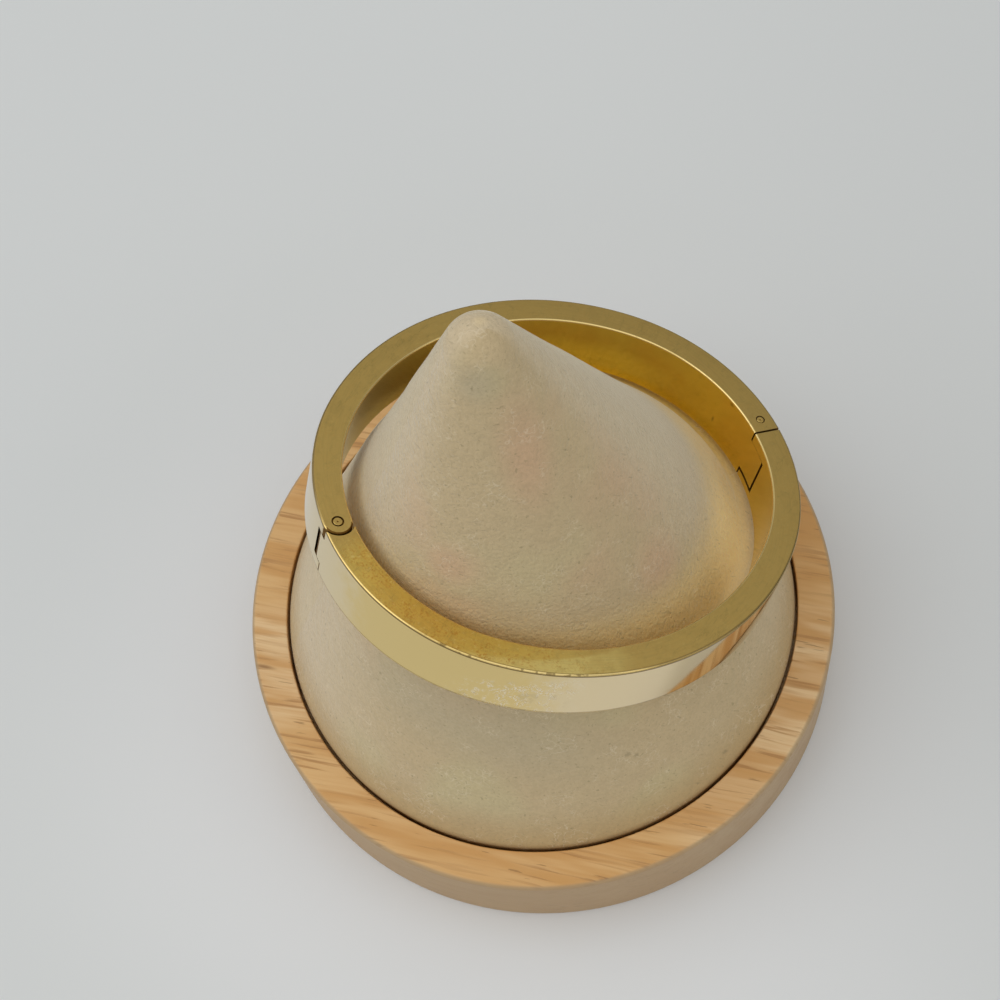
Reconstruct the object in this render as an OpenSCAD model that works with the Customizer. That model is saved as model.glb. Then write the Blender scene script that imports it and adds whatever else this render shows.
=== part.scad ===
// Hinged bangle resting on a cone display stand
// Two polished half bands make an oval. A pinned knuckle joins them at one end, and a
// tongue on the rear half closes into a notch in the front half at the other. The closed
// bangle rests aslant round a covered cone that stands in the pocket of a wooden base.
// Millimetres, +Z up. The origin is the middle of the base's underside.

/* [Bangle] */
// Length of the oval across its two ends, outside
bangle_len = 70; // [69:0.5:71]
// Breadth of the oval, outside
bangle_brd = 64.6; // [64:0.2:65]
// Radius of the two end arcs of the oval, outside
end_arc_r = 30.6; // [30:0.2:31]
// Thickness of the band's wall
wall_t = 4.1; // [3.8:0.1:4.2]
// Height of the band along the bangle's axis
band_h = 9.5; // [9:0.1:10]
// Width of the bevel along the band's four long edges
bevel = 0.25; // [0.1:0.05:0.35]
// Turn from the ends of the oval to the hinge pin and the clasp seam
split_turn = 6.5; // [5:0.5:8]

/* [Hinge] */
// Height of each of the rear half's two ears
ear_h = 1.95; // [1.6:0.05:2.2]
// Clearance between the knuckle and each ear, along the pin
layer_gap = 0.1; // [0.05:0.05:0.2]
// Clearance round the ears and the knuckle
round_gap = 0.3; // [0.25:0.05:0.35]
// Radius of the hinge pin
hinge_pin_r = 0.7; // [0.6:0.05:0.8]
// Radial clearance of the pin in the knuckle
running_gap = 0.04; // [0.02:0.01:0.08]

/* [Clasp] */
// Length of the tongue beyond the seam, along the inner wall
tongue_len = 4.2; // [3.5:0.1:4.5]
// Height of the tongue
tongue_h = 6.1; // [5.6:0.1:6.4]
// Thickness of the tongue's free end
tongue_t = 3.1; // [2.9:0.1:3.2]
// Clearance round the tongue in the notch
notch_gap = 0.12; // [0.08:0.02:0.16]
// Width of the seam where the two halves meet
seam_gap = 0.12; // [0.08:0.02:0.2]
// Radius of the clasp pin
clasp_pin_r = 0.6; // [0.5:0.05:0.65]
// Distance of the clasp pin from the seam
clasp_pin_setback = 2.1; // [1.8:0.1:2.4]

/* [Stand] */
// Radius of the wooden base
base_r = 45; // [44:0.5:48]
// Thickness of the base
base_t = 16; // [15:0.5:18]
// Radius of the rounded edges of the base
base_edge_r = 0.8; // [0.4:0.1:1.5]
// Radius of the pocket in the base
pocket_r = 39.4; // [39.1:0.1:40]
// Depth of the pocket
pocket_depth = 4; // [3:0.5:6]
// Radius of the cone where it leaves the pocket
cone_foot_r = 38.8; // [38.4:0.1:38.9]
// Height of the cone's tip above the floor
tip_z = 100; // [98:0.5:100.5]
// Radius of the rounded tip
tip_r = 4.8; // [4:0.2:5]

/* [Placing of the bangle] */
// Middle of the upper rim, to the right of the stand's axis
rim_x = 6.4; // [6:0.1:6.8]
// Middle of the upper rim, behind the stand's axis
rim_y = 3.4; // [3:0.1:3.8]
// Height of the middle of the upper rim
rim_z = 51.3; // [51:0.1:54]
// Lean of the bangle away from level
lean = 20.2; // [19.5:0.1:20.5]
// Compass direction in which the bangle leans down
lean_dir = 28.3; // [27:0.1:29]
// Turn of the oval about its own axis
oval_turn = -10.9; // [-12:0.1:-10]

/* [Hidden] */
$fn = 180;

// Four arcs of the oval: the end arcs are centred on the long axis and the side arcs on
// the short axis, and they meet where the line through both centres crosses the wall.
half_len = bangle_len / 2;
half_brd = bangle_brd / 2;
end_arc_x = half_len - end_arc_r;
side_arc_r = (end_arc_x ^ 2 + half_brd ^ 2 - end_arc_r ^ 2) / (2 * (half_brd - end_arc_r));
side_arc_y = side_arc_r - half_brd;
blend_angle = atan2(side_arc_y, end_arc_x);
joint_inset = 0.015;
joint_overlap = 2;

// How far a cutting shape runs past what it cuts, in millimetres and in degrees
past = 1;
past_turn = 1;

// Hinge, measured about the centre of the left end arc
wall_mid_r = end_arc_r - wall_t / 2;
ear_inset = 0.05;
ear_r = wall_t / 2 - ear_inset;
clear_r = ear_r + round_gap;
hinge_angle = 180 - split_turn;
knuckle_z0 = ear_h + layer_gap;
knuckle_z1 = band_h - ear_h - layer_gap;
pin_groove = 0.16;
pin_groove_depth = 0.2;
dimple_r = 0.3;
dimple_depth = 0.2;

// Clasp, measured about the centre of the right end arc
wall_in_r = end_arc_r - wall_t;
seam_half_turn = arc_turn(seam_gap / 2, wall_mid_r);
tongue_tip_angle = -split_turn - arc_turn(tongue_len, wall_in_r);
tongue_z0 = (band_h - tongue_h) / 2;
root_t = 2.1;
root_r0 = wall_in_r + tongue_t - root_t;
root_setback = 4.2;
root_end_angle = -split_turn + arc_turn(root_setback, wall_mid_r);
root_gap = 0.04;
clasp_pin_angle = -split_turn + arc_turn(clasp_pin_setback, wall_mid_r);

// Cone: a straight flank from the base's top face up to where it touches the rounded tip
pocket_floor_z = base_t - pocket_depth;
tip_centre_z = tip_z - tip_r;
flank_h = tip_centre_z - base_t;
cone_half_angle = acos(tip_r / norm([cone_foot_r, flank_h])) - atan2(flank_h, cone_foot_r);
tip_steps = 8;

// Turn in degrees of an arc of the given length at the given radius
function arc_turn(length, radius) = length / radius * 180 / PI;

// Radius and height of the rounded tip, k from 0 at the flank to 1 on the axis
function tip_point(k) =
    let (turn = cone_half_angle + k * (90 - cone_half_angle))
    [k < 1 ? tip_r * cos(turn) : 0, tip_centre_z + tip_r * sin(turn)];

// Rectangle with two bevelled corners on top, as radii and heights
module ring_section(r0, r1, z0, z1, cut) {
    polygon([
        [r0, z0], [r1, z0], [r1, z1 - cut], [r1 - cut, z1], [r0, z1]
    ]);
}

// Cross-section of the band's wall, bevelled along all four edges
module wall_section(outer_r, inset) {
    r0 = outer_r - wall_t + inset;
    r1 = outer_r - inset;
    z0 = inset;
    z1 = band_h - inset;
    polygon([
        [r0 + bevel, z0], [r1 - bevel, z0], [r1, z0 + bevel], [r1, z1 - bevel],
        [r1 - bevel, z1], [r0 + bevel, z1], [r0, z1 - bevel], [r0, z0 + bevel]
    ]);
}

// Part of the wall swept about one arc's centre
module wall_arc(centre, outer_r, from, to, inset = 0) {
    translate([centre.x, centre.y, 0])
        rotate([0, 0, from])
            rotate_extrude(angle = to - from)
                wall_section(outer_r, inset);
}

// Side arc of the wall, a hair thinner than the end arcs and let into both of them
module side_wall_arc(centre, middle) {
    half_turn = 90 - blend_angle + joint_overlap;
    wall_arc(centre, side_arc_r, middle - half_turn, middle + half_turn, joint_inset);
}

// Block that follows the right end arc, for the tongue, its slot and the notch
module end_block(r0, r1, from, to, z0, z1) {
    translate([end_arc_x, 0, 0])
        rotate([0, 0, from])
            rotate_extrude(angle = to - from)
                translate([r0, z0])
                    square([r1 - r0, z1 - z0]);
}

// Rear half of the oval, from the clasp seam round to the hinge pin
module rear_blank() {
    union() {
        wall_arc([end_arc_x, 0], end_arc_r, -split_turn + seam_half_turn, blend_angle);
        side_wall_arc([0, -side_arc_y], 90);
        wall_arc([-end_arc_x, 0], end_arc_r, 180 - blend_angle, hinge_angle);
    }
}

// Front half of the oval, from the hinge pin round to the clasp seam
module front_blank() {
    union() {
        wall_arc([-end_arc_x, 0], end_arc_r, hinge_angle, 180 + blend_angle);
        side_wall_arc([0, side_arc_y], 270);
        wall_arc(
            [end_arc_x, 0], end_arc_r, 360 - blend_angle, 360 - split_turn - seam_half_turn
        );
    }
}

// Puts what follows on the hinge pin's axis
module at_hinge() {
    translate([
        -end_arc_x + wall_mid_r * cos(hinge_angle),
        wall_mid_r * sin(hinge_angle),
        0
    ])
        children();
}

// Puts what follows on the clasp pin's axis
module at_clasp_pin() {
    translate([
        end_arc_x + wall_mid_r * cos(clasp_pin_angle),
        wall_mid_r * sin(clasp_pin_angle),
        0
    ])
        children();
}

// Round ear with its outer edge bevelled, standing on z = 0 with the bevel on top
module ear() {
    rotate_extrude()
        ring_section(0, ear_r, 0, ear_h, bevel);
}

// Pin with a small dimple in each end
module dimpled_pin(r) {
    rotate_extrude()
        polygon([
            [0, dimple_depth], [dimple_r, 0], [r, 0],
            [r, band_h], [dimple_r, band_h], [0, band_h - dimple_depth]
        ]);
}

// Bore for a pin, with a shallow groove round each of its ends
module grooved_bore(r) {
    translate([0, 0, -past])
        cylinder(r = r, h = band_h + 2 * past);
    for (z = [-past, band_h - pin_groove_depth])
        translate([0, 0, z])
            cylinder(r = r + pin_groove, h = past + pin_groove_depth);
}

// Puts the bangle, whose lower rim stands on z = 0 here, aslant round the cone
module on_cone() {
    translate([rim_x, rim_y, rim_z])
        rotate([0, 0, lean_dir])
            rotate([0, lean, 0])
                rotate([0, 0, oval_turn])
                    translate([0, 0, -band_h])
                        children();
}

// Rear half: two ears at the hinge, and a slot for the tongue at the clasp
module rear_half() {
    color("goldenrod")
        on_cone()
            difference() {
                union() {
                    rear_blank();
                    at_hinge() {
                        translate([0, 0, band_h - ear_h])
                            ear();
                        translate([0, 0, ear_h])
                            mirror([0, 0, 1])
                                ear();
                    }
                }
                at_hinge()
                    translate([0, 0, ear_h])
                        cylinder(r = clear_r, h = band_h - 2 * ear_h);
                at_hinge()
                    grooved_bore(hinge_pin_r);
                end_block(
                    root_r0 - root_gap, root_r0 + root_t + root_gap,
                    -split_turn - past_turn, root_end_angle + arc_turn(root_gap, wall_mid_r),
                    tongue_z0 - root_gap, tongue_z0 + tongue_h + root_gap
                );
                at_clasp_pin()
                    grooved_bore(clasp_pin_r);
            }
}

// Front half: a knuckle between the ears, and a notch for the tongue in its inner wall
module front_half() {
    color("gold")
        on_cone()
            difference() {
                union() {
                    difference() {
                        front_blank();
                        at_hinge()
                            for (z = [-past, knuckle_z1])
                                translate([0, 0, z])
                                    cylinder(r = clear_r, h = knuckle_z0 + past);
                    }
                    at_hinge()
                        translate([0, 0, knuckle_z0])
                            cylinder(r = ear_r, h = knuckle_z1 - knuckle_z0);
                }
                at_hinge()
                    translate([0, 0, -past])
                        cylinder(r = hinge_pin_r + running_gap, h = band_h + 2 * past);
                end_block(
                    wall_in_r - past, wall_in_r + tongue_t + notch_gap,
                    tongue_tip_angle - arc_turn(notch_gap, wall_in_r), 0,
                    tongue_z0 - notch_gap, tongue_z0 + tongue_h + notch_gap
                );
            }
}

// Pin through the ears and the knuckle
module hinge_pin() {
    color("darkgoldenrod")
        on_cone()
            at_hinge()
                dimpled_pin(hinge_pin_r);
}

// Tongue: its root is pinned in the rear half, its free end lies flush with the inner wall
module clasp_tongue() {
    color("darkkhaki")
        on_cone()
            difference() {
                end_block(
                    wall_in_r, wall_in_r + tongue_t, tongue_tip_angle, root_end_angle,
                    tongue_z0, tongue_z0 + tongue_h
                );
                end_block(
                    wall_in_r - past, root_r0, -split_turn, root_end_angle + past_turn,
                    tongue_z0 - past, tongue_z0 + tongue_h + past
                );
                at_clasp_pin()
                    translate([0, 0, -past])
                        cylinder(r = clasp_pin_r, h = band_h + 2 * past);
            }
}

// Pin through the rear half and the tongue's root
module clasp_pin() {
    color("darkgoldenrod")
        on_cone()
            at_clasp_pin()
                dimpled_pin(clasp_pin_r);
}

// Round wooden base with eased edges and a pocket for the cone
module wood_base() {
    color("burlywood")
        difference() {
            rotate_extrude()
                union() {
                    square([base_r - base_edge_r, base_t]);
                    translate([0, base_edge_r])
                        square([base_r, base_t - 2 * base_edge_r]);
                    for (z = [base_edge_r, base_t - base_edge_r])
                        translate([base_r - base_edge_r, z])
                            circle(r = base_edge_r);
                }
            translate([0, 0, pocket_floor_z])
                cylinder(r = pocket_r, h = pocket_depth + past);
        }
}

// Covered cone, standing on the pocket's floor
module cone() {
    color("tan")
        rotate_extrude()
            polygon([
                [0, pocket_floor_z],
                [cone_foot_r, pocket_floor_z],
                [cone_foot_r, base_t],
                for (i = [0:tip_steps]) tip_point(i / tip_steps)
            ]);
}

wood_base();
cone();
rear_half();
front_half();
hinge_pin();
clasp_tongue();
clasp_pin();
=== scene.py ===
"""Looks of a hinged bangle that rests aslant on a covered cone in a wooden base."""

from math import acos, atan2, cos, degrees, hypot, pi, radians, sin

import bmesh
import bpy
from bpy.props import FloatProperty, FloatVectorProperty, IntProperty, PointerProperty
from mathutils import Matrix, Vector, noise


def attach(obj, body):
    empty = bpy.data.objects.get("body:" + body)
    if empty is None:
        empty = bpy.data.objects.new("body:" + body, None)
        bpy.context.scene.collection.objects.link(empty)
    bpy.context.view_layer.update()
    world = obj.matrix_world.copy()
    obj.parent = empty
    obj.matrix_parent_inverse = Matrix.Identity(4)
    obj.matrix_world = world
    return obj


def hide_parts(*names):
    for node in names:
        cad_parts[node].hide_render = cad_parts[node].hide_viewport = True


bl_info = {
    "name": "Hinged bangle on a cone stand",
    "version": (1, 0, 0),
    "blender": (4, 5, 0),
    "location": "3D View > Sidebar > Bangle",
    "description": "Builds the wooden base, the covered cone and the two halves of the bangle",
    "category": "Object",
}

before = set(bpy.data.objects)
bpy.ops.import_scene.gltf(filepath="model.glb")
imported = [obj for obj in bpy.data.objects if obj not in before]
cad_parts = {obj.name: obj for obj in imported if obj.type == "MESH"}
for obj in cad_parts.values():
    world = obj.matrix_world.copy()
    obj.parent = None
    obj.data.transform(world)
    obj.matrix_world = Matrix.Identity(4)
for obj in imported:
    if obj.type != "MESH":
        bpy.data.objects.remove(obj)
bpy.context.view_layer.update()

# Bodies of the solid model
STAND = "stand"
FRONT = "front"

# Sizes of the solid model, in metres, and its turns, in degrees
MM = 0.001
BAND_H = 9.5 * MM
WALL_T = 4.1 * MM
END_ARC_R = 30.6 * MM
HALF_LEN = 35.0 * MM
HALF_BRD = 32.3 * MM
SPLIT_TURN = 6.5
EAR_H = 1.95 * MM
LAYER_GAP = 0.1 * MM
ROUND_GAP = 0.3 * MM
HINGE_PIN_R = 0.7 * MM
CLASP_PIN_R = 0.6 * MM
CLASP_SETBACK = 2.1 * MM
TONGUE_LEN = 4.2 * MM
TONGUE_H = 6.1 * MM
TONGUE_T = 3.1 * MM
ROOT_T = 2.1 * MM
ROOT_SETBACK = 4.2 * MM
NOTCH_GAP = 0.12 * MM
ROOT_GAP = 0.04 * MM
RUNNING_GAP = 0.04 * MM
SEAM_GAP = 0.12 * MM
PAST = 1.0 * MM

# What the dressed bangle shows besides: sunk pin heads, seams that look a little wider, and a
# fuller lower ear at the hinge
GROOVE = 0.15 * MM
CLASP_GROOVE = 0.07 * MM
GROOVE_DEPTH = 0.32 * MM
HEAD_STEP = 0.08 * MM
HEAD_EASE = 0.04 * MM
HEAD_PIT_R = 0.16 * MM
SEAM_SHOWN = 0.2 * MM
NOTCH_TOP_SHOWN = 0.05 * MM
NOTCH_END_SHOWN = 0.48 * MM
LOWER_ROUND_GAP = 0.15 * MM
LOWER_EAR_EASE = 0.08 * MM

# The base and the cone of the solid model
BASE_R = 45.0 * MM
BASE_T = 16.0 * MM
POCKET_R = 39.4 * MM
POCKET_DEPTH = 4.0 * MM
CONE_FOOT_R = 38.8 * MM
TIP_Z = 100.0 * MM
TIP_R = 4.8 * MM

# Soft forms of the cone's cover: a leaning tip, a bulge under the band's lower edge, a taut
# waist above it, a hem at the wood, waves, and a crown that is rubbed flat
TIP_LEAN = -1.3 * MM
BULGE = 1.4 * MM
BULGE_TOP = -0.4 * MM
BULGE_PEAK = -2.4 * MM
BULGE_FOOT = -9.0 * MM
BULGE_SIDE = radians(50.0)
WAIST = 0.3 * MM
WAIST_FOOT = -1.0 * MM
WAIST_PEAK = 9.0 * MM
HEM = 0.12 * MM
HEM_REACH = 3.0 * MM
WAVE = 11.0 * MM
CROWN_R = 1.5 * MM
CROWN_SINK = 0.1 * MM
AXIS_R = 0.5 * MM

# Place of the bangle round the cone
RIM_CENTRE = Vector((6.4, 3.4, 51.3)) * MM
LEAN = radians(20.2)
LEAN_DIR = radians(28.3)
OVAL_TURN = radians(-10.9)
PLACE = (
    Matrix.Translation(RIM_CENTRE)
    @ Matrix.Rotation(LEAN_DIR, 4, "Z")
    @ Matrix.Rotation(LEAN, 4, "Y")
    @ Matrix.Rotation(OVAL_TURN, 4, "Z")
    @ Matrix.Translation((0.0, 0.0, -BAND_H))
)
FROM_CONE = PLACE.inverted()

# The four arcs of the oval
END_X = HALF_LEN - END_ARC_R
SIDE_ARC_R = (END_X**2 + HALF_BRD**2 - END_ARC_R**2) / (2 * (HALF_BRD - END_ARC_R))
SIDE_Y = SIDE_ARC_R - HALF_BRD
BLEND = degrees(atan2(SIDE_Y, END_X))
RIGHT_END = Vector((END_X, 0.0, 0.0))
LEFT_END = Vector((-END_X, 0.0, 0.0))
REAR_SIDE = Vector((0.0, -SIDE_Y, 0.0))
FRONT_SIDE = Vector((0.0, SIDE_Y, 0.0))


def arc_turn(length, radius):
    """Turn in degrees of an arc of that length"""
    return degrees(length / radius)


def on_arc(centre, radius, turn):
    """Point at that radius and turn about an arc's centre"""
    return centre + Vector((cos(radians(turn)), sin(radians(turn)), 0.0)) * radius


# Hinge and clasp in the bangle's own frame, whose lower rim lies at height 0
WALL_MID_R = END_ARC_R - WALL_T / 2
WALL_IN_R = END_ARC_R - WALL_T
EAR_R = WALL_T / 2 - 0.012 * MM
CLEAR_R = EAR_R + ROUND_GAP
LOWER_EAR_R = CLEAR_R - LOWER_ROUND_GAP
HINGE_TURN = 180 - SPLIT_TURN
HINGE_AT = on_arc(LEFT_END, WALL_MID_R, HINGE_TURN)
EAR_END_TURN = HINGE_TURN + arc_turn(CLEAR_R, WALL_IN_R)
SEAM_HALF_TURN = arc_turn(SEAM_GAP / 2, WALL_MID_R)
TONGUE_TIP_TURN = -SPLIT_TURN - arc_turn(TONGUE_LEN, WALL_IN_R)
TONGUE_Z0 = (BAND_H - TONGUE_H) / 2
ROOT_R0 = WALL_IN_R + TONGUE_T - ROOT_T
ROOT_END_TURN = -SPLIT_TURN + arc_turn(ROOT_SETBACK, WALL_MID_R)
CLASP_TURN = -SPLIT_TURN + arc_turn(CLASP_SETBACK, WALL_MID_R)
CLASP_AT = on_arc(RIGHT_END, WALL_MID_R, CLASP_TURN)
POCKET_FLOOR = BASE_T - POCKET_DEPTH

# The cone's straight flank meets its rounded tip without a bend
TIP_CENTRE_Z = TIP_Z - TIP_R
FLANK_H = TIP_CENTRE_Z - BASE_T
CONE_HALF_ANGLE = acos(TIP_R / hypot(CONE_FOOT_R, FLANK_H)) - atan2(FLANK_H, CONE_FOOT_R)

# Steps of the round forms
SWEEP_STEP = 1.5
PIN_SIDES = 64
BASE_SIDES = 192
CONE_SIDES = 192
FLANK_RINGS = 150
TIP_RINGS = 16

# The photograph's view, as the camera's place and the directions of its three axes
CAMERA_AT = Vector((0.0, -0.11106, 0.2889))
CAMERA_RIGHT = Vector((0.98153, -0.16838, -0.09084))
CAMERA_UP = Vector((0.19104, 0.88824, 0.41777))
CAMERA_BACK = Vector((0.01034, -0.42741, 0.904))
SENSOR = 36.0
LENS = 68.71

# Where the two soft lights hang, and the side from which the room is brighter
WINDOW_AT = Vector((-0.84, 0.1, 1.05))
FILL_AT = Vector((0.72, -0.35, 0.42))
BRIGHT_SIDE = Vector((-0.85, -0.53, 0.0))


def colour_setting(name, whose, default):
    """Colour setting of a finish"""
    return FloatVectorProperty(
        name=name,
        description="Colour of " + whose,
        subtype="COLOR",
        default=default,
        min=0.0,
        max=1.0,
    )


def length_setting(name, description, default, low, high):
    """Length setting of a piece, given in millimetres"""
    return FloatProperty(
        name=name,
        description=description,
        subtype="DISTANCE",
        unit="LENGTH",
        default=default * MM,
        min=low * MM,
        max=high * MM,
    )


class WoodFinish(bpy.types.PropertyGroup):
    """Colours and grain of the wooden base"""

    light: colour_setting("Light wood", "the wood between the grain lines", (0.81, 0.51, 0.222))
    pale: colour_setting("Pale wood", "the paler stretches", (0.90, 0.64, 0.35))
    dark: colour_setting("Dark wood", "the broad darker streaks", (0.68, 0.36, 0.115))
    vessel: colour_setting("Vessels", "the brown dashes along the grain", (0.52, 0.27, 0.095))
    pore: colour_setting("Pores", "the short open pores", (0.32, 0.16, 0.055))
    # The side's colour is partly the turned wood's own tone and partly painted shade and a painted
    # reflection of the grey floor
    side: colour_setting("Side", "the grey on the turned side", (0.46, 0.326, 0.188))
    grain_turn: FloatProperty(
        name="Grain direction",
        description="Turn of the grain about the base's axis",
        subtype="ANGLE",
        default=radians(-23.0),
    )
    edge: length_setting("Eased edge", "Radius of the base's rounded edges", 0.8, 0.2, 1.5)


class SuedeFinish(bpy.types.PropertyGroup):
    """Colours and nap of the cone's cover"""

    cloth: colour_setting("Cloth", "most of the cover", (0.66, 0.515, 0.307))
    blush: colour_setting("Blush", "the warmer patches", (0.72, 0.485, 0.30))
    moss: colour_setting("Moss", "the cooler patches", (0.67, 0.57, 0.33))
    # The paler flanks are painted sheen: the cover is lightened towards its left and right sides
    pale: colour_setting("Pale flanks", "the paler flanks", (0.745, 0.605, 0.40))
    shaded: colour_setting("Shaded", "the cover below the band and the tip", (0.58, 0.48, 0.31))
    # Painted light and shade: the foot is darker and warmer, standing in for shade and the wood's warm
    # light thrown onto the cover
    foot: colour_setting("Foot", "the cover near the wood", (0.60, 0.44, 0.225))
    # Painted light: this warm colour stands in for the gold's light thrown back onto the cover near the
    # band, and also colours its painted glow
    polished: colour_setting("Rubbed", "the cover where the bangle rubs", (1.0, 0.75, 0.34))
    # Painted reflection: this golden colour under the band's edge stands in for the gold's light and
    # reflection seen there
    painted_gold_reflection: colour_setting("Stain", "the gold's trace under its edge", (0.80, 0.57, 0.16))
    # Painted shade: the cover's colour in the dark gap of the pocket
    hem: colour_setting("Hem", "the cover down in the pocket's gap", (0.42, 0.25, 0.09))
    speck: colour_setting("Specks", "the dark specks and fibres", (0.30, 0.24, 0.13))
    fibre: colour_setting("Fibres", "the pale curly fibres", (0.92, 0.80, 0.60))
    # The pale spot on the tip is partly wear and partly a painted highlight
    tip_wear_and_highlight: colour_setting("Worn tip", "the rubbed spot on the tip", (0.88, 0.70, 0.42))
    unevenness: length_setting("Unevenness", "Height of the cloth's soft waves", 0.12, 0.0, 0.25)


class GoldFinish(bpy.types.PropertyGroup):
    """Colours and edges of the bangle"""

    rim: colour_setting("Rim", "the satin rims", (0.75, 0.515, 0.155))
    rim_rich: colour_setting("Rich rim", "the rim's worn stretch", (0.89, 0.655, 0.17))
    rim_glint: colour_setting("Rim glints", "the small bright flecks", (1.0, 0.80, 0.32))
    # Painted reflection: the pale front of the rim stands in for light caught by its rounded outer edge
    rim_painted_reflection: colour_setting("Pale rim", "the rim's paler front", (0.98, 0.78, 0.27))
    outer: colour_setting("Outer wall", "the polished outer wall", (0.895, 0.735, 0.455))
    outer_worn: colour_setting("Worn wall", "its yellower stretch", (0.86, 0.655, 0.285))
    scuff: colour_setting("Scuffs", "the pale scuffs on it", (0.99, 0.89, 0.68))
    inner: colour_setting("Inner wall", "the polished inner wall", (0.77, 0.585, 0.105))
    inner_lit: colour_setting("Lit foot", "its brighter foot", (1.0, 0.80, 0.14))
    inner_amber: colour_setting("Amber clouds", "its darker clouds", (0.75, 0.51, 0.08))
    edge: colour_setting("Edges", "the burnished bevels", (1.0, 0.76, 0.32))
    # Used for the tarnish in seams and cut faces and also for painted dark lines and painted dark
    # reflections along the edges
    tarnish_and_shade: colour_setting("Tarnish", "the tarnished seams", (0.12, 0.06, 0.012))
    bevel: length_setting("Bevel", "Width of the band's bright bevels", 0.25, 0.1, 0.35)
    bevel_steps: IntProperty(
        name="Bevel steps",
        description="Number of faces across the bevel",
        default=3,
        min=1,
        max=6,
    )


class StageLook(bpy.types.PropertyGroup):
    """Floor and light"""

    floor: colour_setting("Floor", "the pale floor", (0.79, 0.81, 0.81))
    # Painted light: the floor is made lighter round the stand
    painted_light_floor: colour_setting("Near floor", "the floor round the stand", (0.865, 0.88, 0.895))
    room: colour_setting("Bright side", "the room's light on the left and in front", (0.42, 0.42, 0.41))
    far_room: colour_setting("Dark side", "the room's light on the right", (0.12, 0.12, 0.12))
    ceiling: colour_setting("Ceiling", "the light from straight above", (0.93, 0.94, 0.94))
    window: FloatProperty(
        name="Soft light",
        description="Power of the large soft light on the left",
        unit="POWER",
        default=2.8,
        min=0.0,
    )
    fill: FloatProperty(
        name="Fill light",
        description="Power of the weaker warm light on the right",
        unit="POWER",
        default=0.5,
        min=0.0,
    )
    fill_colour: colour_setting("Fill colour", "the light on the right", (1.0, 0.92, 0.76))


class Pattern:
    """A node's output, such as a value or a place that varies over a surface"""

    def __init__(self, nodes, socket):
        self.nodes = nodes
        self.socket = socket

    def reckon(self, operation, other=0.0):
        """Arithmetic on this value, with a number or another value"""
        made = self.nodes.node("ShaderNodeMath")
        made.operation = operation
        self.nodes.feed(made.inputs[0], self)
        self.nodes.feed(made.inputs[1], other)
        return Pattern(self.nodes, made.outputs[0])

    def reckon_place(self, operation, other=(0.0, 0.0, 0.0), output="Vector"):
        """Arithmetic on this place, with a fixed or another place"""
        made = self.nodes.node("ShaderNodeVectorMath")
        made.operation = operation
        self.nodes.feed(made.inputs[0], self)
        self.nodes.feed(made.inputs[1], other)
        return Pattern(self.nodes, made.outputs[output])

    def __add__(self, other):
        return self.reckon("ADD", other)

    def __sub__(self, other):
        return self.reckon("SUBTRACT", other)

    def __mul__(self, other):
        return self.reckon("MULTIPLY", other)

    def __or__(self, other):
        """The larger of two values at each place"""
        return self.reckon("MAXIMUM", other)

    def ramp(self, low, high):
        """0 below low and 1 above high, or the other way round if low is above high"""
        made = self.nodes.node(
            "ShaderNodeMapRange",
            Value=self,
            From_Min=min(low, high),
            From_Max=max(low, high),
            To_Min=float(low > high),
            To_Max=float(low < high),
        )
        made.interpolation_type = "SMOOTHSTEP"
        return Pattern(self.nodes, made.outputs[0])

    def between(self, low, high, soft):
        """1 between low and high, fading to 0 over the soft width at each end"""
        return self.ramp(low - soft, low + soft) * self.ramp(high + soft, high - soft)

    def lines(self, width):
        """Thin curly lines where a noise passes its middle value"""
        return (self - 0.5).reckon("ABSOLUTE").ramp(2.5 * width, width)

    def noise(self, size, detail=2.0, rough=0.5):
        """Noise over this place, whose patches are about that many millimetres wide"""
        made = self.nodes.node(
            "ShaderNodeTexNoise", Vector=self, Scale=1.0 / size, Detail=detail, Roughness=rough
        )
        return Pattern(self.nodes, made.outputs["Fac"])

    def stretched(self, stretch):
        """This place with everything drawn out that many times along x"""
        return self.reckon_place("MULTIPLY", (1.0 / stretch, 1.0, 1.0))

    def length(self):
        """Distance of this place from its origin"""
        return self.reckon_place("LENGTH", output="Value")

    def parts(self):
        """The x, y and z of this place"""
        outputs = self.nodes.node("ShaderNodeSeparateXYZ", Vector=self).outputs
        return [Pattern(self.nodes, output) for output in outputs]

    def around(self):
        """Turn about the z axis in degrees, distance from it and height above its foot"""
        x, y, z = self.parts()
        turn = y.reckon("ARCTAN2", x) * (180.0 / pi)
        return turn, self.nodes.joined(x, y, 0.0).length(), z


class Nodes:
    """Adds nodes to one tree and joins them"""

    def __init__(self, tree):
        self.tree = tree

    def feed(self, socket, value):
        """Sets a node's socket to a value, or joins a pattern to it"""
        if isinstance(value, Pattern):
            self.tree.links.new(value.socket, socket)
        elif socket.type == "RGBA":
            socket.default_value = (*value, 1.0)
        else:
            socket.default_value = value

    def node(self, kind, **inputs):
        """Adds a node, with its inputs fed by name"""
        made = self.tree.nodes.new(kind)
        for name, value in inputs.items():
            self.feed(made.inputs[name.replace("_", " ")], value)
        return made

    def coordinates(self, kind):
        """Texture coordinates of that kind"""
        return Pattern(self, self.node("ShaderNodeTexCoord").outputs[kind])

    def joined(self, x, y, z):
        """Place made of three values"""
        return Pattern(self, self.node("ShaderNodeCombineXYZ", X=x, Y=y, Z=z).outputs[0])

    def mix(self, share, a, b):
        """Colour a turned into colour b by a share from 0 to 1"""
        made = self.node("ShaderNodeMix")
        made.data_type = "RGBA"
        self.feed(made.inputs["Factor"], share)
        self.feed(made.inputs[6], a)
        self.feed(made.inputs[7], b)
        return Pattern(self, made.outputs[2])


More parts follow.
